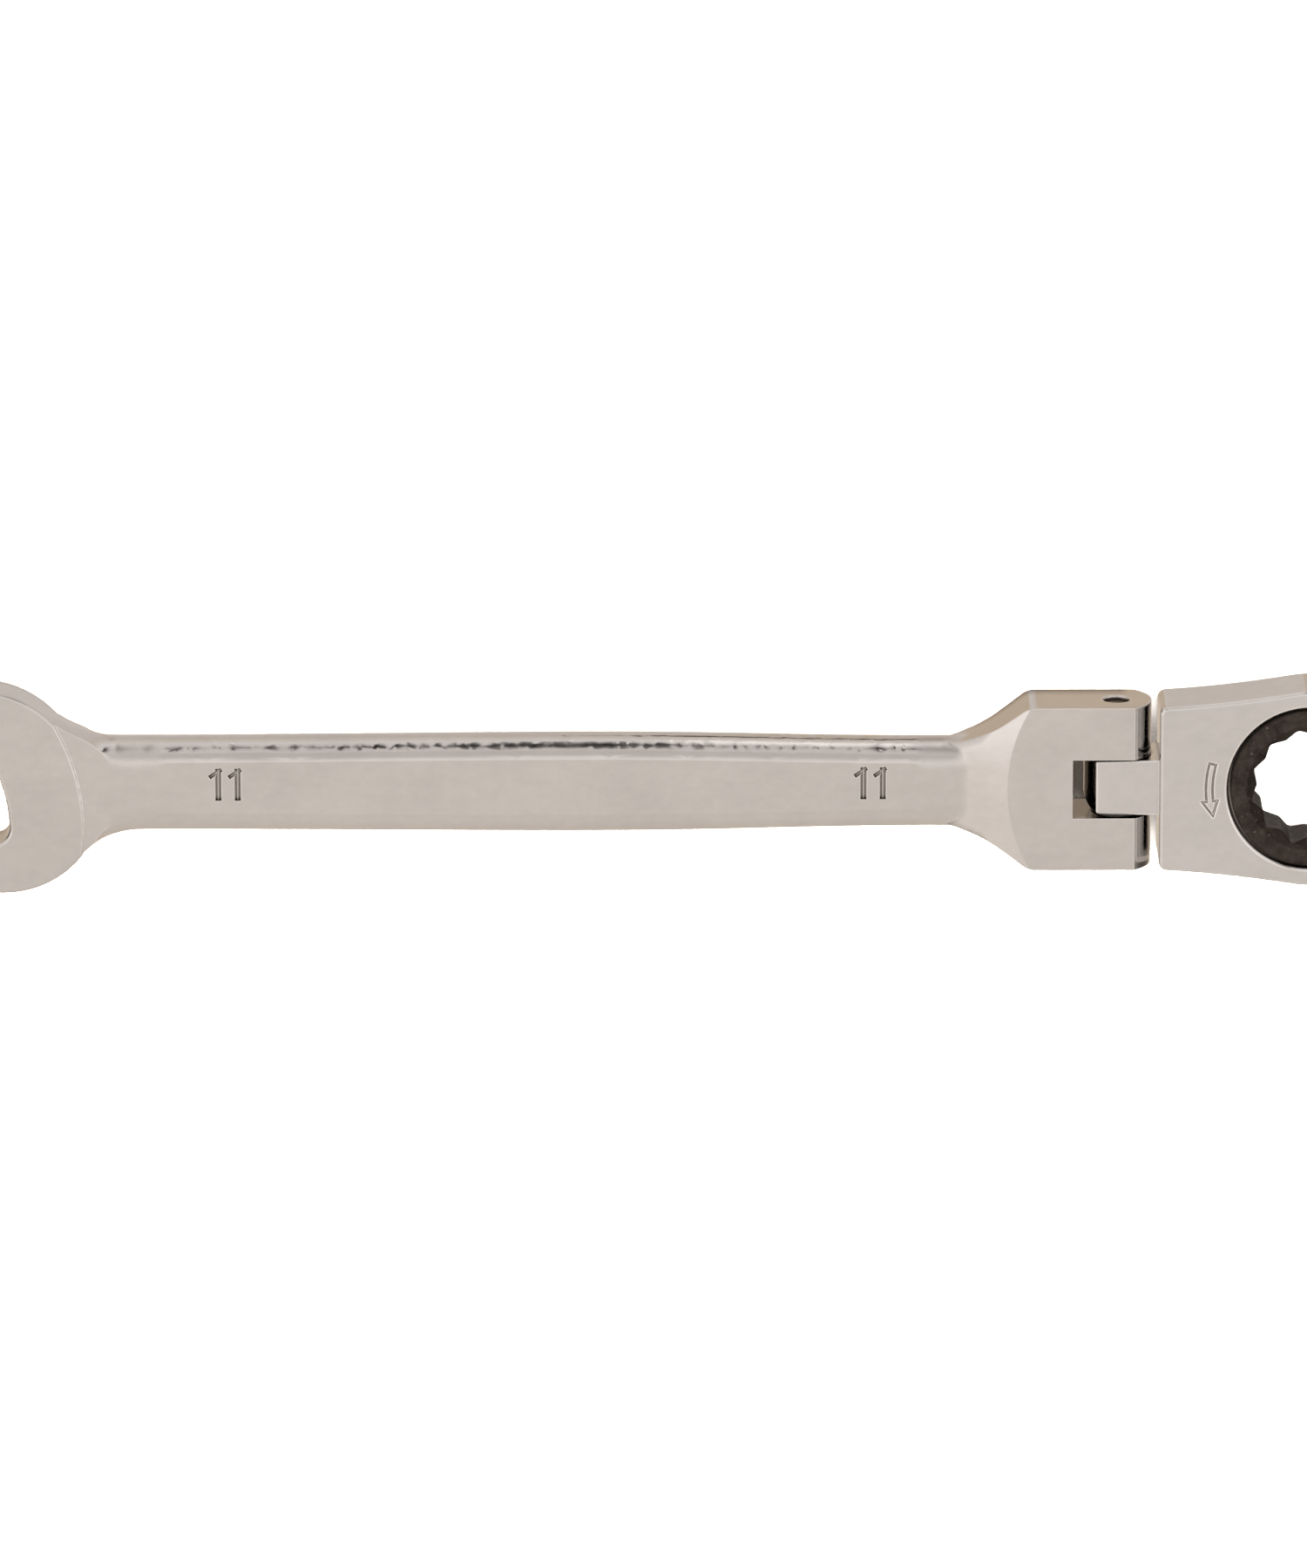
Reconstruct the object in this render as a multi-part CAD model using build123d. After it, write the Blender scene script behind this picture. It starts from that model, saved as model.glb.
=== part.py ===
from build123d import *
import math
import os

# Flex-head ratcheting combination wrench, 11 mm.
#
# One end is a fixed open jaw. The other is a ring head that tilts on a cross pin and holds a ratchet gear
# with a 12-point socket. The wrench lies flat: +X runs from the open jaw to the ring, +Z is up out of the
# marked face, and the origin is the centre of the socket at mid thickness. All sizes are in millimetres.

# ---------------------------------------------------------------- driving dimensions
NUT = 11.0                # size across flats that both ends fit
JAW_GAP = NUT + 0.12      # open jaw, flat to flat
BODY_T = 7.8              # thickness of the ring head and of the clevis
SHANK_T = 5.0             # thickness of the shank
OPEN_T = 5.3              # thickness of the open head
EDGE_R = 0.35             # small rounding on the heads' outer edges
CLEVIS_EDGE_R = 0.25      # the same on the clevis

# ring head
RING_R = 10.94            # outside radius of the ring
SHOULDER_X = -16.4        # flat shoulder that faces the clevis
SHOULDER_W = 9.17         # half width there
SIDE_ANGLE = 9.5          # slope of the hollow sides where they leave the ring
BORE_R = 8.15             # bore that the toothed band turns in
SEAT_R = 9.02             # recess for the gear's flange
SEAT_Z = 2.70             # floor of that recess

# ratchet gear
TEETH = 72
TIP_R = 8.05              # tooth tips, and the plain collar behind them
ROOT_R = 7.63
RAMP_SHARE = 0.7          # share of the pitch taken by each tooth's long flank
FLANGE_R = 8.72
GEAR_Z = 3.80             # half length of the gear
BAND_LOW, BAND_HIGH = -2.25, 2.45     # the toothed band
GROOVE_LOW, GROOVE_HIGH = -3.05, -2.40  # snap ring groove, in the gear and in the head alike
GROOVE_GEAR_R, GROOVE_HEAD_R = 7.60, 8.62
POINT_R, CUSP_R = 6.62, 5.78          # sharp corners of the 12-point outline before rounding
POINT_ROUND, CUSP_ROUND = 0.55, 0.70
SOCKET_TURN = 12.5        # degrees that the points are turned from +X
LEAD_IN_R = 6.95          # rim of the cone that leads a nut in

# pawl, and the pocket it slides in along X
PAWL_HALF_W = 2.2
PAWL_LOW, PAWL_HIGH = -2.2, 2.0
PAWL_BACK_X = -11.3
PAWL_TRAVEL = 0.55
PAWL_GAP = 0.10           # clearance round the pawl in its pocket
MESH_GAP = 0.04           # clearance between the pawl's teeth and the gear's
SPRING_HOLE_R = 1.15
SPRING_MEAN_R, SPRING_WIRE_R, SPRING_TURNS = 0.80, 0.14, 7
SPRING_FRONT_X, SPRING_BACK_X = -9.75, -14.15

# hinge
PIN_X = -21.0
PIN_R = 1.375
PIN_BORE_CLEARANCE = 0.045
PIN_RECESS = 0.5
PIN_MOUTH = 0.4           # depth and rise of the cones at the pin hole's ends
CLEVIS_W = 9.11           # half width of the clevis
SLOT_W = 3.27             # half width of its slot
SLOT_FLOOR = 4.8          # slot floor, behind the pin
EAR_END = (1.9, 3.8)      # past the pin: where the ears' flat faces stop, and how far the ears reach
TONGUE_END = (2.2, 3.5)   # the same for the tongue, on the other side of the pin
TONGUE_T = 7.2
TONGUE_TOP, TONGUE_BOTTOM = 3.19, -2.99   # the tongue's sides at the shoulder
TONGUE_TAPER = 0.2        # each side comes in by this much at the rounded end
PAD_X, PAD_R = -32.9, 17.7            # where the clevis faces start to curve down, and that edge's radius
PAD_DROP = ((1.4, 3.56), (3.1, 2.98), (4.9, 2.42))   # height at these distances behind that edge
PAD_END = 9.5             # distance at which the flare's surface has dropped to the middle
CLEVIS_CORNER_R = 2.4     # plan corner between the flare and the clevis

# shank and its flares: half width 5.25 at the open end, 5.5 in the middle, 5.0 at the clevis
SHANK_FLAT = 2.37         # the flat faces stop this far inside the shank's edges, which are round
SHANK_OPEN_W, SHANK_MID_W, SHANK_CLEVIS_W = 5.25, 5.5, 5.0
SHANK_MID_X = -76.0
FLARE_START = (-41.8, 4.36)           # clevis flare: an arc that starts inside the shank's round edge,
FLARE_R, FLARE_ANGLE = 14.6, 36.5     # then a straight slope

# open head: two round lobes, with hollow arcs between them and the shank
UPPER_LOBE, UPPER_LOBE_R = (-144.6, -0.5), 11.5
LOWER_LOBE, LOWER_LOBE_R = (-141.8, -1.05), 10.8
UPPER_NECK = (-129.6, 10.94, 33.0)    # each arc's end on the shank, its radius, and its slope where it stops
LOWER_NECK = (-126.84, 9.5, 40.0)
NECK_DIVE = 1.4           # length of straight slope past each arc, before the neck levels off inside the head
NECK_FLAT = 0.2           # as SHANK_FLAT, but at the head
NECK_BLEND = (-128.5, -133.5)         # the shank's section changes into the neck's between these
NECK_LEFT, NECK_STEPS = -138.5, 12    # the neck is drawn in steps of 1 mm from here
HEAD_CENTRE = (-142.8, -0.60)
HEAD_REAR = (-133.3, -0.5)            # rearmost point of the head's faces
HEAD_REAR_X = (-136.0, -133.2)        # where their rear edge meets the upper and the lower lobe
JAW_ANGLE = 15.0          # the jaw opens 15 degrees below -X
JAW_FLOOR = 1.15          # bottom of the jaw, ahead of the head's centre
JAW_FLOOR_R = 18.0
JAW_CORNER_R = 1.9
JAW_REACH = 10.6          # tips, beyond the head's centre
JAW_TIP_W = 8.9           # half width over the tips
JAW_TIP_R = 1.1

# marks
MARK_DEPTH = 0.28
STEM_W, FLAG_W, FLAG_REACH = 0.74, 0.50, 0.95
DIGIT_H = 3.58
DIGIT_LOW_Y = -1.42
DIGIT_PITCH = 2.1
DIGIT_X = (-118.4, -48.45)            # centre of each pair's first stem
ARROW_IN_R, ARROW_OUT_R, ARROW_WING = 10.55, 11.5, 1.02
ARROW_TAIL, ARROW_NECK, ARROW_TIP = -15.5, 6.5, 17.0   # degrees past the ring's -X side
ARROW_LINE, ARROW_DEPTH = 0.24, 0.15


def slab(face, low, high):
    """The plan face, made solid from z = low to z = high."""
    return extrude(Pos(0, 0, low) * face, high - low)


def ring(outer, inner, low, high):
    return slab(Circle(outer) - Circle(inner), low, high)


def polygon(points):
    return make_face(Polyline(*points, close=True))


def edges_at(solid, z):
    """Edges that lie flat at height z."""
    return solid.edges().filter_by_position(Axis.Z, z - 0.01, z + 0.01)


def soften(solid, edges, radius):
    """Rounds the edges, or bevels them where a rounding can't be built."""
    for make, size in ((fillet, radius), (chamfer, radius), (chamfer, radius / 2)):
        try:
            made = make(edges, size)
            if made.is_valid:
                return made
        except Exception:
            pass
    return solid


# ---------------------------------------------------------------- handle: shank, open jaw and clevis
def shank_swell(x):
    """Half width of the plain shank: a gentle swell that peaks at SHANK_MID_X."""
    end_w = SHANK_OPEN_W if x < SHANK_MID_X else SHANK_CLEVIS_W
    end_x = LOWER_NECK[0] if x < SHANK_MID_X else FLARE_START[0]
    share = min(1.0, abs(x - SHANK_MID_X) / abs(end_x - SHANK_MID_X))
    return SHANK_MID_W + (end_w - SHANK_MID_W) * (1 - math.cos(math.pi * share)) / 2


def neck_half_width(x, neck):
    """Half width on one side of the neck: a hollow arc, a short straight slope, then level."""
    neck_x, radius, angle = neck
    turn = math.radians(angle)
    arc_x = neck_x - radius * math.sin(turn)
    if x >= neck_x:
        return shank_swell(x)
    if x >= arc_x:
        return SHANK_OPEN_W + radius - math.sqrt(radius**2 - (neck_x - x) ** 2)
    slope = min(arc_x - x, NECK_DIVE) * math.tan(turn)
    return SHANK_OPEN_W + radius * (1 - math.cos(turn)) + slope


def shank_section(x):
    """Cross-section of the shank or its neck at x: flat faces and round edges."""
    share = min(1.0, max(0.0, (x - NECK_BLEND[0]) / (NECK_BLEND[1] - NECK_BLEND[0])))
    inset = SHANK_FLAT + (NECK_FLAT - SHANK_FLAT) * (1 - math.cos(math.pi * share)) / 2
    upper, lower = neck_half_width(x, UPPER_NECK), neck_half_width(x, LOWER_NECK)
    half_t = SHANK_T / 2
    at = Plane(origin=(x, 0, 0), x_dir=(0, 1, 0), z_dir=(1, 0, 0))
    outline = (
        Line((inset - lower, half_t), (upper - inset, half_t))
        + ThreePointArc((upper - inset, half_t), (upper, 0), (upper - inset, -half_t))
        + Line((upper - inset, -half_t), (inset - lower, -half_t))
        + ThreePointArc((inset - lower, -half_t), (-lower, 0), (inset - lower, half_t))
    )
    return at * make_face(outline)


def shank_body():
    """The shank and its neck, which run a little way into the head at one end and the clevis at the other."""
    neck_stations = [NECK_LEFT + step for step in range(NECK_STEPS + 1)]
    stations = (neck_stations[-1], -116.0, -104.0, -90.0, SHANK_MID_X, -62.0, -50.0, -41.0, -34.0)
    neck = loft([shank_section(x) for x in neck_stations])
    return neck + loft([shank_section(x) for x in stations])


def jaw_frame(along, across):
    """A point given along the jaw's axis (from the head's centre, away from the mouth) and across it."""
    a = math.radians(JAW_ANGLE)
    x = HEAD_CENTRE[0] + along * math.cos(a) - across * math.sin(a)
    y = HEAD_CENTRE[1] + along * math.sin(a) + across * math.cos(a)
    return (x, y)


def jaw_cut():
    """The mouth of the open jaw, with a shallow curved floor and rounded corners."""
    half = JAW_GAP / 2
    sag = half**2 / (2 * JAW_FLOOR_R)
    far = -2.0 * JAW_REACH
    outline = Polyline(
        jaw_frame(JAW_FLOOR - sag, half), jaw_frame(far, half), jaw_frame(far, -half),
        jaw_frame(JAW_FLOOR - sag, -half),
    ) + ThreePointArc(
        jaw_frame(JAW_FLOOR - sag, -half), jaw_frame(JAW_FLOOR, 0), jaw_frame(JAW_FLOOR - sag, half)
    )
    face = make_face(outline)
    corners = ShapeList([v for v in face.vertices() if v.X > HEAD_CENTRE[0] - JAW_REACH])
    return fillet(corners, JAW_CORNER_R)


def lobe_point(lobe, radius, x, side):
    """The point of a lobe's outline at x, on its upper (1) or lower (-1) side."""
    return (x, lobe[1] + side * math.sqrt(radius**2 - (x - lobe[0]) ** 2))


def open_head_plan():
    """Plan of the open head: round lobes, jaws that narrow to their tips, and a curved rear edge."""
    upper_rear = lobe_point(UPPER_LOBE, UPPER_LOBE_R, HEAD_REAR_X[0], 1)
    lower_rear = lobe_point(LOWER_LOBE, LOWER_LOBE_R, HEAD_REAR_X[1], -1)
    upper_crown = (UPPER_LOBE[0], UPPER_LOBE[1] + UPPER_LOBE_R)
    lower_crown = (LOWER_LOBE[0], LOWER_LOBE[1] - LOWER_LOBE_R)
    upper_tip = jaw_frame(-JAW_REACH, JAW_TIP_W)
    lower_tip = jaw_frame(-JAW_REACH, -JAW_TIP_W)
    upper_mid = lobe_point(UPPER_LOBE, UPPER_LOBE_R, (upper_rear[0] + upper_crown[0]) / 2, 1)
    lower_mid = lobe_point(LOWER_LOBE, LOWER_LOBE_R, (lower_rear[0] + lower_crown[0]) / 2, -1)
    outline = (
        ThreePointArc(lower_rear, HEAD_REAR, upper_rear)
        + ThreePointArc(upper_rear, upper_mid, upper_crown)
        + TangentArc(upper_crown, upper_tip, tangent=(-1, 0))
        + Line(upper_tip, lower_tip)
        + TangentArc(lower_crown, lower_tip, tangent=(-1, 0))
        + ThreePointArc(lower_crown, lower_mid, lower_rear)
    )
    plan = make_face(outline) - jaw_cut()
    tips = ShapeList([v for v in plan.vertices() if v.X < HEAD_CENTRE[0] - JAW_REACH / 2])
    return fillet(tips, JAW_TIP_R)


def end_profile(toward, end, half_t):
    """Side outline of a hinge end: flat faces that stop past the pin, then one arc round to the other face."""
    shoulder, reach = [PIN_X + toward * distance for distance in end]
    far = PIN_X - toward * 22
    return make_face(
        Polyline((shoulder, half_t), (far, half_t), (far, -half_t), (shoulder, -half_t))
        + ThreePointArc((shoulder, -half_t), (reach, 0), (shoulder, half_t))
    )


def side_prism(profile, half_w):
    """A side outline drawn in X and Z, made solid across the wrench."""
    return extrude(Plane.XZ.offset(-half_w) * profile, 2 * half_w)


def clevis_body():
    """Both ears, the block behind them and the flare, before the slot is cut."""
    angle = math.radians(FLARE_ANGLE)

    def flare(turn):
        return (FLARE_START[0] + FLARE_R * math.sin(turn), FLARE_START[1] + FLARE_R * (1 - math.cos(turn)))

    arc_end = flare(angle)
    corner = (arc_end[0] + (CLEVIS_W - arc_end[1]) / math.tan(angle), CLEVIS_W)
    front = (PIN_X + 6, CLEVIS_W)
    upper = ThreePointArc(FLARE_START, flare(angle / 2), arc_end) + Polyline(arc_end, corner, front)
    ends = Line(front, (front[0], -CLEVIS_W)) + Line(FLARE_START, (FLARE_START[0], -FLARE_START[1]))
    plan = make_face(upper + mirror(upper, Plane.XZ) + ends)
    corners = ShapeList([v for v in plan.vertices() if abs(v.X - corner[0]) < 0.01])
    block = slab(fillet(corners, CLEVIS_CORNER_R), -BODY_T / 2, BODY_T / 2)
    block &= dished_top()
    block = soften(block, block.edges().filter_by(is_rim), CLEVIS_EDGE_R)
    return block & side_prism(end_profile(1, EAR_END, BODY_T / 2), CLEVIS_W + 1)


def is_rim(edge):
    """Whether an edge runs round the top or bottom of the clevis block, apart from its front end."""
    middle = edge @ 0.5
    return abs(middle.Z) > 0.6 and abs(middle.Y) > 3.0 and abs((edge % 0.5).Z) < 0.9 and middle.X < PIN_X + 5


def dished_top():
    """The round body, centred ahead of the clevis, whose faces curve down towards the shank."""
    half_t = BODY_T / 2
    points = [(PAD_R, half_t)] + [(PAD_R + reach, height) for reach, height in PAD_DROP]
    rim = Spline(*points, tangents=((1, -0.22), (1, -0.18)))
    end = (PAD_R + PAD_END, 0)
    outline = (
        Line((0, half_t), points[0]) + rim + Line(points[-1], end) + Line(end, (0, 0)) + Line((0, 0), (0, half_t))
    )
    quarter = Plane.XZ * make_face(outline)
    top = revolve(quarter, Axis.Z)
    return Pos(PAD_X + PAD_R, 0, 0) * (top + mirror(top, Plane.XY))


def stroke(start, end, width, depth):
    """Cutter for one stamped stroke: a trough with sloping sides, cut down into the shank's top face."""
    length = math.dist(start, end)
    turn = math.degrees(math.atan2(end[1] - start[1], end[0] - start[0]))
    half, bottom = width / 2, width / 8
    section = polygon([(-half, 1), (-half, 0), (-bottom, -depth), (bottom, -depth), (half, 0), (half, 1)])
    bar = extrude(Plane.YZ * section, length)
    return Pos(start[0], start[1], SHANK_T / 2) * Rot(0, 0, turn) * bar


def digit_one(x):
    """The stamped figure 1, whose stem is centred at x: a stem and a slanting flag."""
    low, high = DIGIT_LOW_Y, DIGIT_LOW_Y + DIGIT_H
    stem = stroke((x, low), (x, high), STEM_W, MARK_DEPTH)
    flag = stroke((x + STEM_W / 2, high - 0.1), (x - FLAG_REACH, high - 1.0), FLAG_W, 0.8 * MARK_DEPTH)
    return stem + flag


def handle():
    open_head = slab(open_head_plan(), -OPEN_T / 2, OPEN_T / 2)
    open_head = soften(open_head, edges_at(open_head, OPEN_T / 2) + edges_at(open_head, -OPEN_T / 2), EDGE_R)
    made = open_head + shank_body() + clevis_body()
    slot = Pos(PIN_X - SLOT_FLOOR + 10, 0, 0) * Box(20, 2 * SLOT_W, 2 * BODY_T)
    made -= slot
    made -= Pos(PIN_X, 0, 0) * Rot(90, 0, 0) * Cylinder(PIN_R, 4 * CLEVIS_W)
    mouth = Rot(90, 0, 0) * Cone(PIN_R, PIN_R + PIN_MOUTH, PIN_MOUTH)
    made -= Pos(PIN_X, -CLEVIS_W, 0) * mouth
    made -= Pos(PIN_X, CLEVIS_W, 0) * Rot(0, 0, 180) * mouth
    for first in DIGIT_X:
        for x in (first, first + DIGIT_PITCH):
            made -= digit_one(x)
    return made


# ---------------------------------------------------------------- ring head
def head_plan():
    """Ring, and a neck whose slightly hollow sides leave it smoothly."""
    turn = math.radians(SIDE_ANGLE)
    touch = (-RING_R * math.sin(turn), RING_R * math.cos(turn))
    side = TangentArc(touch, (SHOULDER_X, SHOULDER_W), tangent=(-math.cos(turn), -math.sin(turn)))
    plan = make_face(
        ThreePointArc(touch, (RING_R, 0), (touch[0], -touch[1])) + side + mirror(side, Plane.XZ)
        + Line((SHOULDER_X, SHOULDER_W), (SHOULDER_X, -SHOULDER_W))
    )
    corners = ShapeList([v for v in plan.vertices() if v.X < SHOULDER_X + 0.1])
    return fillet(corners, 0.9)


def arrow_plan(inset=0.0):
    """Arrow that shows which way the gear drives, bent round the ring's centre and shrunk by the inset."""
    def at(radius, degrees):
        turn = math.radians(180 + degrees)
        return (radius * math.cos(turn), radius * math.sin(turn))
    middle = (ARROW_IN_R + ARROW_OUT_R) / 2
    to_degrees = 180 / math.pi / middle
    barb_length = (ARROW_TIP - ARROW_NECK) / to_degrees
    slant = math.hypot(barb_length, ARROW_WING) / ARROW_WING
    tail, neck = ARROW_TAIL + inset * to_degrees, ARROW_NECK + inset * to_degrees
    tip = ARROW_TIP - inset * slant * to_degrees
    wing = ARROW_WING * (tip - neck) / (ARROW_TIP - ARROW_NECK)
    inner, outer = ARROW_IN_R + inset, ARROW_OUT_R - inset
    half_way = (tail + neck) / 2
    outline = (
        ThreePointArc(at(inner, tail), at(inner, half_way), at(inner, neck))
        + Polyline(at(inner, neck), at(middle - wing, neck), at(middle, tip), at(middle + wing, neck),
                   at(outer, neck))
        + ThreePointArc(at(outer, neck), at(outer, half_way), at(outer, tail))
        + Line(at(outer, tail), at(inner, tail))
    )
    return make_face(outline)


def tongue():
    """The flat tongue between the ears, rounded at its end and tapering slightly towards it."""
    end_x = PIN_X - TONGUE_END[1]
    root_x = SHOULDER_X + 0.5
    plan = polygon([
        (root_x, TONGUE_BOTTOM), (root_x, TONGUE_TOP), (end_x, TONGUE_TOP - TONGUE_TAPER),
        (end_x, TONGUE_BOTTOM + TONGUE_TAPER),
    ])
    for side, radius in ((1, 0.9), (-1, 1.9)):
        corner = [v for v in plan.vertices() if v.X < end_x + 0.1 and side * v.Y > 0]
        plan = fillet(ShapeList(corner), radius)
    bar = slab(plan, -TONGUE_T / 2, TONGUE_T / 2)
    return bar & side_prism(end_profile(-1, TONGUE_END, TONGUE_T / 2), CLEVIS_W)


def ratchet_head():
    half_t = BODY_T / 2
    body = slab(head_plan(), -half_t, half_t)
    body = soften(body, edges_at(body, half_t) + edges_at(body, -half_t), EDGE_R)
    body += tongue()
    body -= slab(Circle(BORE_R), -half_t - 1, half_t + 1)
    body -= slab(Circle(SEAT_R), SEAT_Z, half_t + 1)
    rim = 0.22
    body -= Pos(0, 0, half_t - rim / 2) * Cone(SEAT_R, SEAT_R + rim, rim)
    body -= Pos(0, 0, -half_t + rim / 2) * Cone(BORE_R + rim, BORE_R, rim)
    body -= slab(Circle(GROOVE_HEAD_R), GROOVE_LOW, GROOVE_HIGH)
    pocket_back = PAWL_BACK_X - PAWL_TRAVEL - PAWL_GAP
    pocket_w = PAWL_HALF_W + PAWL_GAP
    pocket = polygon([(pocket_back, -pocket_w), (-5, -pocket_w), (-5, pocket_w), (pocket_back, pocket_w)])
    body -= slab(pocket, PAWL_LOW - PAWL_GAP, PAWL_HIGH + PAWL_GAP)
    body -= spring_hole(SPRING_BACK_X - 0.05, pocket_back + 0.5)
    body -= Pos(PIN_X, 0, 0) * Rot(90, 0, 0) * Cylinder(PIN_R + PIN_BORE_CLEARANCE, 4 * SLOT_W)
    groove = arrow_plan() - arrow_plan(ARROW_LINE)
    return body - slab(groove, half_t - ARROW_DEPTH, half_t + 1)


# ---------------------------------------------------------------- ratchet works
def gear_outline(grow=0.0):
    """Saw-toothed outline: each tooth falls away slowly counter-clockwise and steeply clockwise."""
    points = []
    pitch = 2 * math.pi / TEETH
    for tooth in range(TEETH):
        for radius, share in ((TIP_R + grow, 0.0), (ROOT_R + grow, RAMP_SHARE)):
            turn = (tooth + share) * pitch
            points.append((radius * math.cos(turn), radius * math.sin(turn)))
    return polygon(points)


def socket_outline():
    """12-point outline with rounded points and rounded cusps."""
    points = []
    for corner in range(24):
        radius = POINT_R if corner % 2 == 0 else CUSP_R
        turn = math.radians(SOCKET_TURN + 15 * corner)
        points.append((radius * math.cos(turn), radius * math.sin(turn)))
    star = polygon(points)
    middle = (POINT_R + CUSP_R) / 2
    tips = ShapeList([v for v in star.vertices() if math.hypot(v.X, v.Y) > middle])
    star = fillet(tips, POINT_ROUND)
    cusps = ShapeList([v for v in star.vertices() if math.hypot(v.X, v.Y) < CUSP_R + 0.01])
    return fillet(cusps, CUSP_ROUND)


def ratchet_gear():
    body = slab(gear_outline(), BAND_LOW, BAND_HIGH)
    body += slab(Circle(GROOVE_GEAR_R), -GEAR_Z, GEAR_Z)
    collar = slab(Circle(TIP_R), -GEAR_Z, GROOVE_LOW) + slab(Circle(TIP_R), GROOVE_HIGH, BAND_LOW)
    flange = slab(Circle(FLANGE_R), SEAT_Z + 0.05, GEAR_Z)
    flange = chamfer(edges_at(flange, GEAR_Z), 0.15)
    collar = soften(collar, edges_at(collar, -GEAR_Z), 0.12)
    body += collar
    body += flange
    body -= slab(socket_outline(), -GEAR_Z - 1, GEAR_Z + 1)
    depth = LEAD_IN_R - CUSP_R + 0.2
    cone = Cone(LEAD_IN_R - depth, LEAD_IN_R, depth)
    lead_in = Pos(0, 0, GEAR_Z - depth / 2) * cone
    body -= lead_in
    return body - Rot(180, 0, 0) * lead_in


def pawl():
    block = slab(
        polygon([(PAWL_BACK_X, -PAWL_HALF_W), (-5, -PAWL_HALF_W), (-5, PAWL_HALF_W), (PAWL_BACK_X, PAWL_HALF_W)]),
        PAWL_LOW, PAWL_HIGH,
    )
    backlash = 0.25       # degrees
    for turn in (-backlash, 0.0, backlash):
        block -= Rot(0, 0, turn) * slab(gear_outline(MESH_GAP), PAWL_LOW - 1, PAWL_HIGH + 1)
    back = block.edges().filter_by_position(Axis.X, PAWL_BACK_X - 0.01, PAWL_BACK_X + 0.01)
    block = chamfer(back, 0.25)
    return block - spring_hole(PAWL_BACK_X - 1, SPRING_FRONT_X + 0.05)


def spring_axis_z():
    return (PAWL_LOW + PAWL_HIGH) / 2


def spring_hole(start_x, end_x):
    """Round hole along X for the pawl's spring."""
    middle = (start_x + end_x) / 2
    return Pos(middle, 0, spring_axis_z()) * Rot(0, 90, 0) * Cylinder(SPRING_HOLE_R, end_x - start_x)


def pawl_spring():
    length = SPRING_FRONT_X - SPRING_BACK_X - 2 * SPRING_WIRE_R
    path = Helix(pitch=length / SPRING_TURNS, height=length, radius=SPRING_MEAN_R)
    wire = Plane(origin=path @ 0, z_dir=path % 0) * Circle(SPRING_WIRE_R)
    coil = sweep(wire, path=path)
    return Pos(SPRING_BACK_X + SPRING_WIRE_R, 0, spring_axis_z()) * Rot(0, 90, 0) * coil


def snap_ring():
    """Open C ring that sits half in the gear's groove and half in the head's."""
    gap = polygon([(0, 0), (12, -1.6), (12, 1.6)])
    body = ring(8.50, 7.66, GROOVE_LOW + 0.05, GROOVE_HIGH - 0.05)
    return body - slab(Rot(0, 0, 60) * gap, -GEAR_Z, GEAR_Z)


# ---------------------------------------------------------------- hinge
def pivot_pin():
    half = CLEVIS_W - PIN_RECESS
    pin = Rot(90, 0, 0) * Cylinder(PIN_R, 2 * half)
    pin = chamfer(pin.edges().filter_by(GeomType.CIRCLE), 0.2)
    return Pos(PIN_X, 0, 0) * pin


def disc_spring():
    """Cone-shaped spring washer that presses the tongue against the other ear, so the head stays put."""
    inner, outer, sheet, rise = PIN_R + 0.08, 2.75, 0.12, 0.09
    floor = -SLOT_W + 0.01
    section = make_face(Polyline(
        (inner, floor + rise), (outer, floor), (outer, floor + sheet), (inner, floor + rise + sheet), close=True
    ))
    return Pos(PIN_X, 0, 0) * revolve(section, Axis.Y)


def main():
    os.makedirs("parts", exist_ok=True)
    parts = {
        "handle": handle(),
        "ratchet_head": ratchet_head(),
        "ratchet_gear": ratchet_gear(),
        "pawl": pawl(),
        "pawl_spring": pawl_spring(),
        "snap_ring": snap_ring(),
        "pivot_pin": pivot_pin(),
        "disc_spring": disc_spring(),
    }
    for name, shape in parts.items():
        export_step(shape, f"parts/{name}.step")
        print(name, "solids", len(shape.solids()), "valid", shape.is_valid, "volume", round(shape.volume, 1))


main()
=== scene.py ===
"""Looks for the flex-head ratcheting combination wrench: materials, light, floor and camera."""
import math

import bpy
from mathutils import Matrix, Vector


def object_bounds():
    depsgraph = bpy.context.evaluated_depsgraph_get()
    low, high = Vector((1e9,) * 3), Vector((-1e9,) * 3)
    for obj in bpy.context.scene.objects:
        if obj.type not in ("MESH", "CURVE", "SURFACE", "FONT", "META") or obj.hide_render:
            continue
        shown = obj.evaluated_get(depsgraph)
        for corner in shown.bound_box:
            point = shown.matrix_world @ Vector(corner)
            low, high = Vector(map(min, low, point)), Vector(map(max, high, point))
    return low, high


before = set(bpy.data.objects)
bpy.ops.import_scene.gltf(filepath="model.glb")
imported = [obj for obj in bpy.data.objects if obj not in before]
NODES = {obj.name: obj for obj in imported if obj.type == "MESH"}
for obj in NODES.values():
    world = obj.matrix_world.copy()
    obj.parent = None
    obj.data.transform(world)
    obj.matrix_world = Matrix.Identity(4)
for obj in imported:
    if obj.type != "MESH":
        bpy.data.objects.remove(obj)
cad_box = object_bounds()

MM = 0.001


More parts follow.
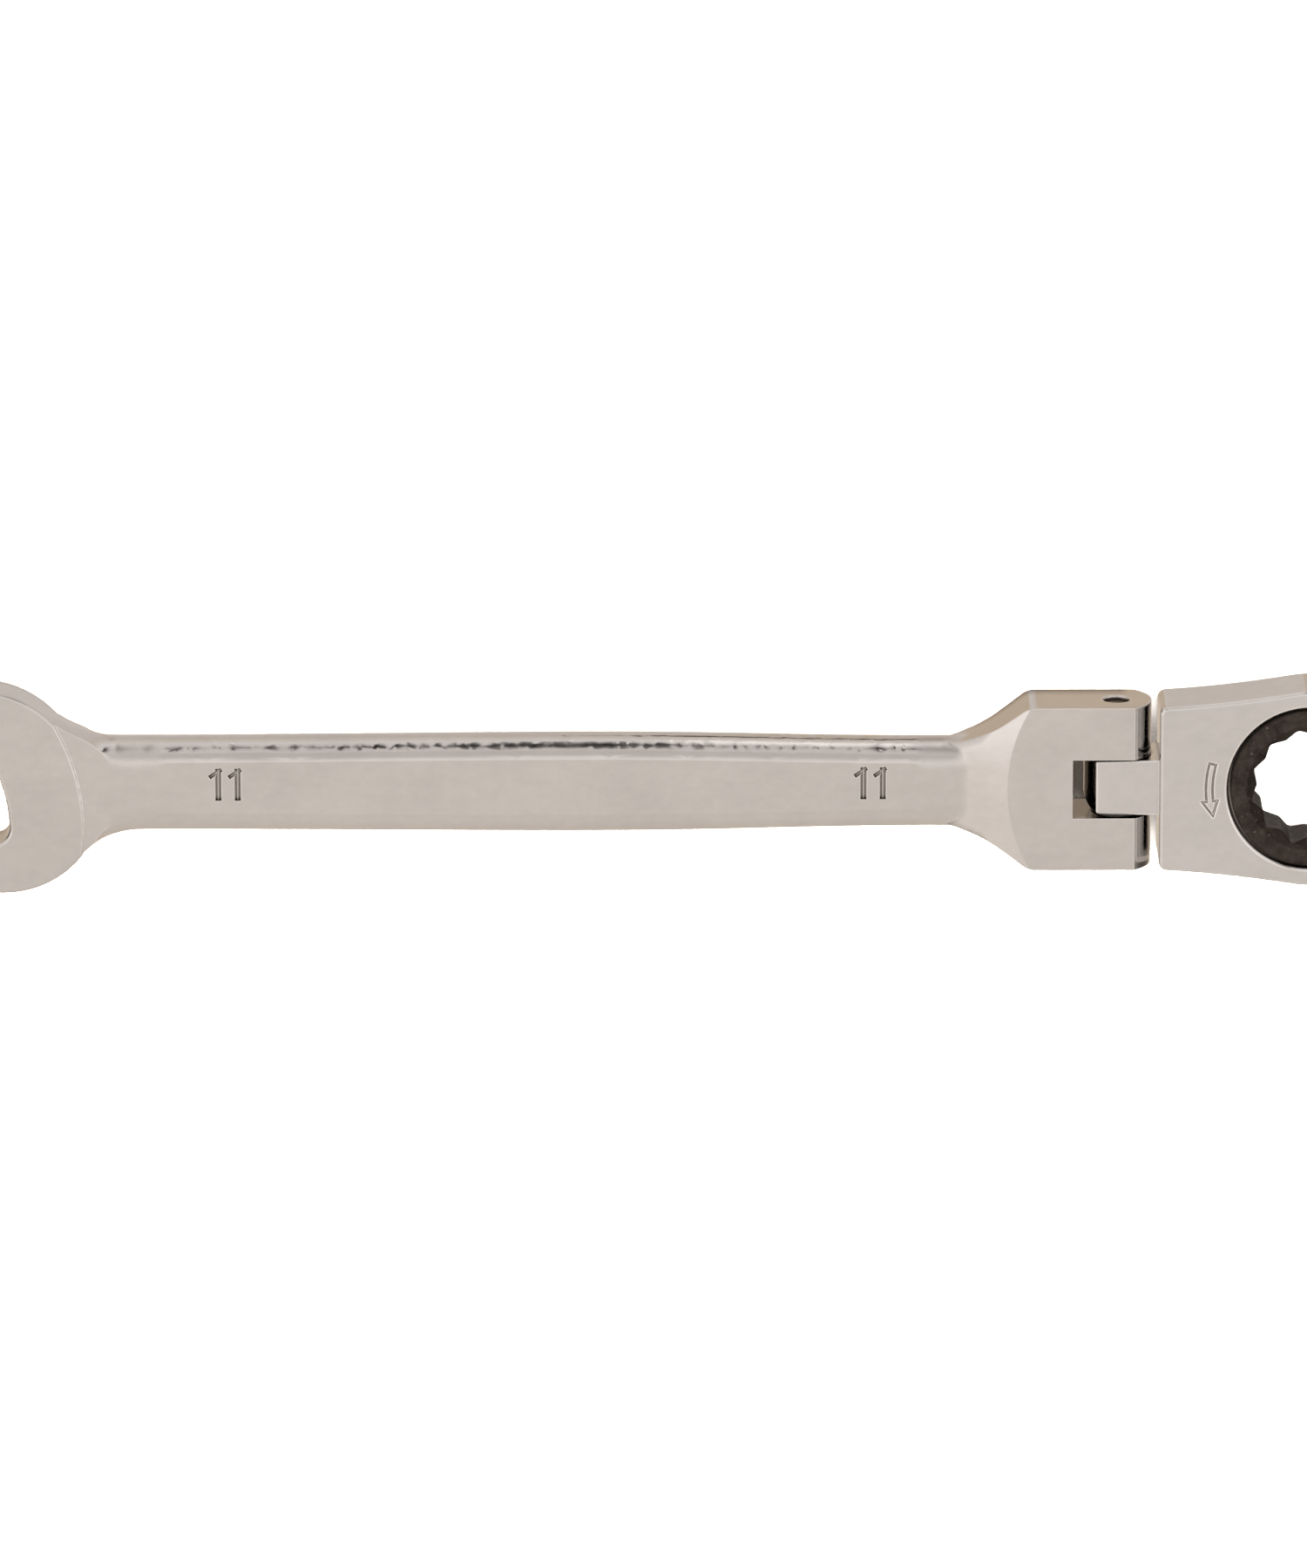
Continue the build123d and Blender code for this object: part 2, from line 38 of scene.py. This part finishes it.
# ---------------------------------------------------------------- node helpers
class Nodes:
    """Short calls that build a node tree. An operand is a number or another node's socket."""

    def __init__(self, tree):
        self.tree = tree
        self.tree.nodes.clear()

    def node(self, kind, **settings):
        made = self.tree.nodes.new(kind)
        for key, value in settings.items():
            setattr(made, key, value)
        return made

    def link(self, a, b):
        self.tree.links.new(a, b)

    def math(self, operation, a, b=0.0):
        made = self.node("ShaderNodeMath", operation=operation)
        for slot, value in enumerate((a, b)):
            if isinstance(value, (int, float)):
                made.inputs[slot].default_value = value
            else:
                self.link(value, made.inputs[slot])
        return made.outputs[0]

    def plus(self, a, b):
        return self.math("ADD", a, b)

    def minus(self, a, b):
        return self.math("SUBTRACT", a, b)

    def times(self, a, b):
        return self.math("MULTIPLY", a, b)

    def remap(self, value, low_in, high_in, low_out, high_out, **settings):
        made = self.node("ShaderNodeMapRange", **settings)
        self.link(value, made.inputs["Value"])
        made.inputs["From Min"].default_value = low_in
        made.inputs["From Max"].default_value = high_in
        made.inputs["To Min"].default_value = low_out
        made.inputs["To Max"].default_value = high_out
        return made.outputs["Result"]

    def ease(self, value, start, end):
        """0 at start and 1 at end, with soft ends; start may be the larger."""
        return self.remap(value, min(start, end), max(start, end), float(start > end), float(start < end),
                          interpolation_type="SMOOTHSTEP")

    def window(self, value, low, low_full, high_full, high):
        """1 between the two full marks, and down to 0 at low and at high."""
        return self.times(self.ease(value, low, low_full), self.ease(value, high, high_full))

    def mix(self, share, low, high):
        made = self.node("ShaderNodeMix", data_type="RGBA")
        self.link(share, made.inputs["Factor"])
        for name, colour in (("A", low), ("B", high)):
            socket = [each for each in made.inputs if each.name == name and each.type == "RGBA"][0]
            if isinstance(colour, tuple):
                socket.default_value = (*colour, 1)
            else:
                self.link(colour, socket)
        return [each for each in made.outputs if each.type == "RGBA"][0]

    def split(self, vector):
        made = self.node("ShaderNodeSeparateXYZ")
        self.link(vector, made.inputs["Vector"])
        return made.outputs


class Shader(Nodes):
    """A node material in object coordinates. Its lengths are in metres."""

    smooth_limit = 0.998            # agreement of the two normals above which a face has no edge

    def __init__(self, name):
        self.material = bpy.data.materials.new(name)
        self.material.use_nodes = True
        super().__init__(self.material.node_tree)
        self.output = self.node("ShaderNodeOutputMaterial")
        self.bsdf = self.node("ShaderNodeBsdfPrincipled")
        self.link(self.bsdf.outputs["BSDF"], self.output.inputs["Surface"])
        self.place = self.node("ShaderNodeTexCoord").outputs["Object"]

    def set(self, **values):
        """Sets plain values on the main shader's sockets; underscores stand for spaces."""
        for key, value in values.items():
            self.bsdf.inputs[key.replace("_", " ")].default_value = value

    def noise(self, lengths, detail=2.0, rough=0.5):
        """Noise whose patches have the given lengths along X, Y and Z."""
        mapping = self.node("ShaderNodeMapping")
        mapping.inputs["Scale"].default_value = [1 / length for length in lengths]
        self.link(self.place, mapping.inputs["Vector"])
        made = self.node("ShaderNodeTexNoise")
        made.inputs["Scale"].default_value = 1.0
        made.inputs["Detail"].default_value = detail
        made.inputs["Roughness"].default_value = rough
        self.link(mapping.outputs["Vector"], made.inputs["Vector"])
        return made.outputs["Fac"]

    def bump(self, height, distance, normal):
        made = self.node("ShaderNodeBump")
        made.inputs["Distance"].default_value = distance
        made.inputs["Strength"].default_value = 1.0
        self.link(height, made.inputs["Height"])
        self.link(normal, made.inputs["Normal"])
        return made.outputs["Normal"]

    def along(self):
        """The place along the wrench."""
        return self.split(self.place)["X"]

    def rounded(self, radius):
        """Normals that round off the edges, as polishing does; the radius is a number or a socket."""
        made = self.node("ShaderNodeBevel", samples=6)
        if isinstance(radius, float):
            made.inputs["Radius"].default_value = radius
        else:
            self.link(radius, made.inputs["Radius"])
        return made.outputs["Normal"]

    def edges(self, soft_normal, full):
        """0 on smooth faces and 1 on sharp edges, where the softened normal leaves the face's own.

        full is the agreement of the two normals that counts as a sharp edge."""
        made = self.node("ShaderNodeVectorMath", operation="DOT_PRODUCT")
        self.link(self.node("ShaderNodeNewGeometry").outputs["Normal"], made.inputs[0])
        self.link(soft_normal, made.inputs[1])
        return self.remap(made.outputs["Value"], self.smooth_limit, full, 0, 1)

    def hollows(self, reach):
        """1 in the open and lower inside marks and corners that are narrower than the reach."""
        made = self.node("ShaderNodeAmbientOcclusion", samples=8)
        made.inputs["Distance"].default_value = reach
        return made.outputs["AO"]

    def finish(self, colour, roughness, normal):
        self.link(colour, self.bsdf.inputs["Base Color"])
        self.link(roughness, self.bsdf.inputs["Roughness"])
        self.link(normal, self.bsdf.inputs["Normal"])
        return self.material


# ---------------------------------------------------------------- materials
CHROME_SHADES = (0.635, 0.695)              # the plate's darker and lighter patches, times its tint
CHROME_ROUGHNESS = (0.05, 0.12)
EDGE_FULL = 0.975                           # agreement of normals at which the painted edge highlight is full
# painted highlight: the colour that sharp chrome edges turn to, in place of their reflection
PAINTED_EDGE_HIGHLIGHT = (0.95, 0.94, 0.93)
NOISE_RANGE = (0.35, 0.65)                  # where most of a noise's values lie
MARK_REACH = 0.45 * MM                      # wide enough for the stamped figures and the arrow
MARK_SHADE = (0.93, 0.45)                   # openness at which the painted shade begins, and at which it is full
# painted shade: the colour inside the stamped figures and the arrow, where shade falls
MARK_PAINTED_SHADE = (0.19, 0.165, 0.145)
DEEP_REACH = 4.0 * MM                       # wide enough for the slot between the ears
DEEP_SHADE = (0.85, 0.50)
# painted shade: the colour of the deep slot between the ears, where shade falls
DEEP_PAINTED_SHADE = (0.10, 0.085, 0.07)
DEEP_SHARE = 0.9
FADE = 1.0                                  # mm over which a stretch along X comes in and ends
BLEND_RADIUS = 1.3 * MM                     # extra rounding inside a blend
FINE_BUMP = 0.0012 * MM
GRAIN_BUMP = 0.0016 * MM


def soften_blends(shader, blends, radius, edge_highlight_strength):
    """Widens the rounding inside the blends, and takes the painted edge highlight off there."""
    for low, high in blends:
        place = shader.along()
        rise = shader.remap(place, low * MM, (low + FADE) * MM, 0, 1)
        fall = shader.remap(place, (high - FADE) * MM, high * MM, 1, 0)
        inside = shader.times(rise, fall)
        radius = shader.plus(shader.times(inside, BLEND_RADIUS), radius)
        edge_highlight_strength = shader.times(edge_highlight_strength, shader.minus(1.0, inside))
    return radius, edge_highlight_strength


def satin_chrome(name, wave, tint, edge, edge_highlight_strength, blends=(), slot_end=None):
    """Chrome plate over a ground and tumbled forging: faint lengthwise grain and slow waves.

    wave is the height of the waves and edge the softened radius of its edges, both in mm.
    edge_highlight_strength is how strongly a highlight is painted in the colour along the edges.
    blends are stretches along X, in mm, where forged surfaces run softly into each other.
    slot_end is the X, in mm, up to which deep places get painted shade."""
    shader = Shader(name)
    shader.set(Metallic=1.0)
    radius, edge_highlight_strength = soften_blends(shader, blends, edge * MM, edge_highlight_strength)
    soft = shader.rounded(radius)

    blotch = shader.noise((9 * MM, 6 * MM, 6 * MM), detail=3.0)
    fine = shader.noise((1.6 * MM, 1.2 * MM, 1.2 * MM), detail=4.0, rough=0.6)
    grain = shader.noise((9 * MM, 0.16 * MM, 0.16 * MM), detail=3.0, rough=0.6)
    swell = shader.noise((24 * MM, 5 * MM, 5 * MM), detail=2.0)

    tone = shader.plus(shader.times(blotch, 0.6), shader.times(fine, 0.4))
    dark, light = [tuple(shade * part for part in tint) for shade in CHROME_SHADES]
    colour = shader.mix(shader.remap(tone, *NOISE_RANGE, 0, 1), dark, light)
    # painted highlight: a lighter colour along the sharp edges stands in for the light they catch
    edge_highlight_share = shader.times(shader.edges(soft, EDGE_FULL), edge_highlight_strength)
    colour = shader.mix(edge_highlight_share, colour, PAINTED_EDGE_HIGHLIGHT)
    # painted shade: darker inside the stamped figures and the arrow, by how closed in they are
    marks = shader.remap(shader.hollows(MARK_REACH), *MARK_SHADE, 0, 1)
    colour = shader.mix(marks, colour, MARK_PAINTED_SHADE)
    # painted shade: darker in the deep slot between the ears, by how closed in it is
    if slot_end is not None:
        deep = shader.remap(shader.hollows(DEEP_REACH), *DEEP_SHADE, 0, DEEP_SHARE)
        before = shader.remap(shader.along(), (slot_end - FADE) * MM, slot_end * MM, 1, 0)
        colour = shader.mix(shader.times(deep, before), colour, DEEP_PAINTED_SHADE)

    haze = shader.plus(shader.times(fine, 0.5), shader.times(grain, 0.5))
    roughness = shader.remap(haze, *NOISE_RANGE, *CHROME_ROUGHNESS)
    normal = shader.bump(swell, wave * MM, soft)
    normal = shader.bump(grain, GRAIN_BUMP, normal)
    normal = shader.bump(fine, FINE_BUMP, normal)
    return shader.finish(colour, roughness, normal)


def black_oxide():
    """Blackened gear steel: brown-black and a little mottled, with a few worn specks."""
    shader = Shader("black_oxide")
    shader.set(Metallic=0.5, Specular_IOR_Level=0.15)
    mottle = shader.noise((1.1 * MM, 1.1 * MM, 1.1 * MM), detail=5.0, rough=0.65)
    cloud = shader.noise((5 * MM, 5 * MM, 5 * MM), detail=2.0)
    speck = shader.noise((0.42 * MM, 0.42 * MM, 0.42 * MM), detail=1.0)
    tone = shader.plus(shader.times(mottle, 0.7), shader.times(cloud, 0.3))
    dark, light = (0.0055, 0.0040, 0.0032), (0.0180, 0.0138, 0.0110)
    worn = (0.14, 0.12, 0.105)
    colour = shader.mix(shader.remap(tone, 0.36, 0.66, 0, 1), dark, light)
    colour = shader.mix(shader.remap(speck, 0.70, 0.82, 0, 0.5), colour, worn)
    roughness = shader.remap(mottle, 0.3, 0.7, 0.42, 0.58)
    normal = shader.bump(mottle, 0.010 * MM, shader.rounded(0.10 * MM))
    return shader.finish(colour, roughness, normal)


def plain_steel(name, dark, light, roughness_range, grain_lengths):
    """Turned or ground steel, with a grain of the given lengths, in mm, along X, Y and Z."""
    shader = Shader(name)
    shader.set(Metallic=1.0)
    grain = shader.noise(tuple(length * MM for length in grain_lengths), detail=3.0, rough=0.6)
    stain = shader.noise((0.9 * MM, 0.9 * MM, 0.9 * MM), detail=4.0)
    colour = shader.mix(shader.remap(stain, 0.3, 0.7, 0, 1), dark, light)
    roughness = shader.remap(grain, 0.3, 0.7, *roughness_range)
    normal = shader.bump(grain, 0.003 * MM, shader.rounded(0.06 * MM))
    return shader.finish(colour, roughness, normal)


def dress(node, material):
    mesh = NODES[node].data
    mesh.materials.clear()
    mesh.materials.append(material)


neck, clevis_foot = (-131.0, -124.0), (-43.0, -34.6)        # mm along X
dress("handle", satin_chrome(
    "satin_chrome_shank", wave=0.020, tint=(0.985, 0.965, 0.955), edge=0.18, edge_highlight_strength=0.45,
    blends=(neck, clevis_foot), slot_end=-19.5))
dress("ratchet_head", satin_chrome(
    "satin_chrome_head", wave=0.008, tint=(1.0, 0.995, 0.995), edge=0.32, edge_highlight_strength=0.95))
dress("ratchet_gear", black_oxide())
dress("pivot_pin", plain_steel(
    "pin_steel", (0.20, 0.17, 0.14), (0.42, 0.38, 0.34), (0.30, 0.50),
    grain_lengths=(0.3, 0.05, 0.3)))
dress("pawl", plain_steel(
    "hardened_steel", (0.10, 0.09, 0.08), (0.20, 0.19, 0.18), (0.30, 0.45),
    grain_lengths=(0.1, 2.0, 0.1)))
spring_steel = plain_steel(
    "spring_steel", (0.26, 0.25, 0.24), (0.45, 0.44, 0.43), (0.25, 0.40),
    grain_lengths=(1.0, 0.1, 0.1))
for spring in ("pawl_spring", "disc_spring", "snap_ring"):
    dress(spring, spring_steel)


# ---------------------------------------------------------------- floor, world, lights and camera
# The tent's light by direction: degrees from the zenith round the X axis, positive towards +Y.
TENT = (
    (-180, (0.60, 0.49, 0.38)),
    (-150, (0.66, 0.56, 0.46)),
    (-112, (0.74, 0.66, 0.58)),
    (-60, (0.79, 0.72, 0.655)),
    (-24, (0.80, 0.73, 0.665)),
    (-15, (0.83, 0.76, 0.70)),
    (-7, (1.04, 0.97, 0.92)),
    (3, (1.00, 0.93, 0.88)),
    (12, (0.72, 0.665, 0.62)),
    (31, (0.70, 0.645, 0.60)),
    (41, (0.84, 0.78, 0.735)),
    (62, (0.82, 0.765, 0.72)),
    (88, (0.90, 0.845, 0.80)),
    (110, (0.78, 0.70, 0.63)),
    (135, (0.68, 0.575, 0.47)),
    (164, (0.635, 0.515, 0.395)),
    (180, (0.60, 0.485, 0.375)),
)
COOL = (0.72, 0.655, 0.61)      # the tent low down on the +Y side, away from the warm stretches
COOL_LEAN = (0.62, 0.80)        # lean over which it turns cool
WARM_END = (-0.10, -0.15)       # x over which it turns warm again, towards the open end
WARM_WINDOW = (0.018, 0.028, 0.046, 0.058)         # x where a warm stretch starts, is full and ends
MIDDLE_WINDOW = (-0.045, -0.030, 0.018, 0.030)     # the same for a fainter one
MIDDLE_WARMTH = 0.25            # share of the warm colour that stays in the middle window
# Bars in the tent: degrees, half width in degrees, x, reach in x, and darkness (bright if below 0).
CARDS = (
    (63, 30.0, -0.007, 0.043, 0.99),
    (65, 16.0, 0.420, 0.370, 0.95),
    (36, 26.0, -0.230, 0.180, 0.99),
    (0, 60.0, 0.360, 0.220, -0.25),
    (124, 8.0, 0.020, 0.026, 0.92),
    (120, 9.0, 0.040, 0.012, 0.80),
    (86, 20.0, 0.038, 0.020, -0.60),
)
CARD_CORE = 0.55                # the part of a bar's half width that is at full strength
END_LEAN = (0.84, 0.97)         # share of x in a direction's level part over which an end turns dark
END_HEIGHT = (-0.958, -0.90, -0.15, 0.30)
END_DARKNESS = 0.88
LEAST_LEVEL = 0.02              # keeps a division finite straight above and below
# Extra light towards the open end: x and z over which it comes in, and its strength.
LIFTS = (
    ((-0.10, -0.32), (0.2, 0.6), 0.17),
    ((-0.29, -0.34), (-0.85, -0.93), 0.6),
)

WRENCH_MIDDLE = (-0.07, 0.0, 0.0)
FLOOR_SIZE = 6.0
FLOOR_GAP = 0.0001
# Name, place, size and power of each light; all face the middle of the wrench.
SOFTBOXES = (
    ("back", (-0.07, 0.70, 0.52), (0.5, 0.5), 13.0),
    ("front", (-0.07, -0.70, 0.52), (0.5, 0.5), 13.0),
    ("right", (0.28, 0.0, 0.60), (0.5, 0.15), 9.0),
    ("left", (-0.42, 0.0, 0.60), (0.5, 0.15), 9.0),
)
SOFTBOX_COLOUR = (0.98, 0.99, 1.0)


def make_floor(low):
    """Warm white paper just below the wrench. The wrench doesn't mirror it."""
    bpy.ops.mesh.primitive_plane_add(size=FLOOR_SIZE, location=(WRENCH_MIDDLE[0], 0, low - FLOOR_GAP))
    floor = bpy.context.object
    floor.name = "floor"
    floor.visible_glossy = False
    shader = Shader("floor_paper")
    shader.set(Specular_IOR_Level=0.1, Roughness=0.9)
    speckle = shader.noise((4 * MM, 4 * MM, 4 * MM), detail=3.0)
    colour = shader.mix(speckle, (0.91, 0.855, 0.80), (0.94, 0.885, 0.83))
    shader.link(colour, shader.bsdf.inputs["Base Color"])
    floor.data.materials.append(shader.material)


def tent_colours(tent, lean):
    """The colour round the X axis. lean is -1 to 1, 0 at the zenith and positive towards +Y."""
    ramp = tent.node("ShaderNodeValToRGB")
    tent.link(tent.plus(tent.times(lean, 0.5), 0.5), ramp.inputs["Fac"])
    elements = ramp.color_ramp.elements
    for number, (degrees, colour) in enumerate(TENT):
        spot = (degrees / 180 + 1) / 2
        element = elements[number] if number < 2 else elements.new(spot)
        element.position = spot
        element.color = (*colour, 1)
    return ramp.outputs["Color"]


def dark_ends(tent, x, y, z):
    """1 towards both ends of the wrench, from about the horizon down to almost straight below."""
    level = tent.math("SQRT", tent.plus(tent.times(x, x), tent.times(y, y)))
    along = tent.math("DIVIDE", tent.math("ABSOLUTE", x), tent.math("MAXIMUM", level, LEAST_LEVEL))
    return tent.times(tent.ease(along, *END_LEAN), tent.window(z, *END_HEIGHT))


def card(tent, x, lean, degrees, half, across, reach):
    """1 inside a bar that lies along X and tapers to both ends."""
    off = tent.math("ABSOLUTE", tent.minus(lean, degrees / 180))
    taper = tent.times(tent.math("ABSOLUTE", tent.minus(x, across)), half / 180 / reach)
    return tent.ease(tent.plus(off, taper), half / 180, CARD_CORE * half / 180)


def make_world():
    """A warm tent of light: its colour runs round the wrench's long axis and darkens towards both ends.

    x, y and z are parts of the unit direction in which a ray leaves the scene."""
    world = bpy.data.worlds.new("tent")
    bpy.context.scene.world = world
    world.use_nodes = True
    tent = Nodes(world.node_tree)
    x, y, z = tent.split(tent.node("ShaderNodeTexCoord").outputs["Generated"])
    lean = tent.math("DIVIDE", tent.math("ARCTAN2", y, z), math.pi)

    strength = tent.minus(1.0, tent.times(dark_ends(tent, x, y, z), END_DARKNESS))
    for x_range, z_range, extra in LIFTS:
        lift = tent.times(tent.ease(x, *x_range), tent.ease(z, *z_range))
        strength = tent.times(strength, tent.plus(1.0, tent.times(lift, extra)))
    for degrees, half, across, reach, darkness in CARDS:
        bar = card(tent, x, lean, degrees, half, across, reach)
        strength = tent.times(strength, tent.minus(1.0, tent.times(bar, darkness)))

    middle = tent.times(tent.window(x, *MIDDLE_WINDOW), MIDDLE_WARMTH)
    warm = tent.math("MAXIMUM", tent.window(x, *WARM_WINDOW), tent.ease(x, *WARM_END))
    warm = tent.math("MAXIMUM", warm, middle)
    cool = tent.times(tent.ease(lean, *COOL_LEAN), tent.minus(1.0, warm))
    colour = tent.mix(cool, tent_colours(tent, lean), COOL)

    back = tent.node("ShaderNodeBackground")
    tent.link(colour, back.inputs["Color"])
    tent.link(strength, back.inputs["Strength"])
    out = tent.node("ShaderNodeOutputWorld")
    tent.link(back.outputs["Background"], out.inputs["Surface"])


def add_softbox(name, place, size, power):
    """A rectangular light that lights the scene but is not mirrored in it."""
    data = bpy.data.lights.new(name, "AREA")
    data.shape = "RECTANGLE"
    data.size, data.size_y = size
    data.energy = power
    data.color = SOFTBOX_COLOUR
    light = bpy.data.objects.new(name, data)
    light.location = place
    light.rotation_euler = (Vector(WRENCH_MIDDLE) - Vector(place)).to_track_quat("-Z", "Y").to_euler()
    light.visible_glossy = False
    bpy.context.scene.collection.objects.link(light)


def make_camera():
    """Above the marked face, leaning towards +Y, with +X to the right.

    The sizes are for a 1500 x 1800 frame."""
    tilt = math.radians(16.0)
    distance = 1.300
    frame_height = 0.17037
    aim = Vector((-0.07121, -0.00037, 0.0))
    roll = math.radians(0.13)
    data = bpy.data.cameras.new("camera")
    camera = bpy.data.objects.new("camera", data)
    bpy.context.scene.collection.objects.link(camera)
    data.sensor_width = 36.0
    data.lens = data.sensor_width * distance / frame_height
    data.clip_start = 0.01
    back = Vector((0, math.sin(tilt), math.cos(tilt)))
    up = Vector((0, math.cos(tilt), -math.sin(tilt)))
    right = up.cross(back)
    up, right = up * math.cos(roll) + right * math.sin(roll), right * math.cos(roll) - up * math.sin(roll)
    axes = Matrix((right, up, back)).transposed()
    camera.matrix_world = Matrix.Translation(aim + distance * back) @ axes.to_4x4()
    bpy.context.scene.camera = camera


make_floor(cad_box[0].z)
make_world()
make_camera()
for name, place, size, power in SOFTBOXES:
    add_softbox(f"softbox_{name}", place, size, power)

settings = bpy.context.scene.view_settings
settings.view_transform = "Standard"
settings.look = "None"
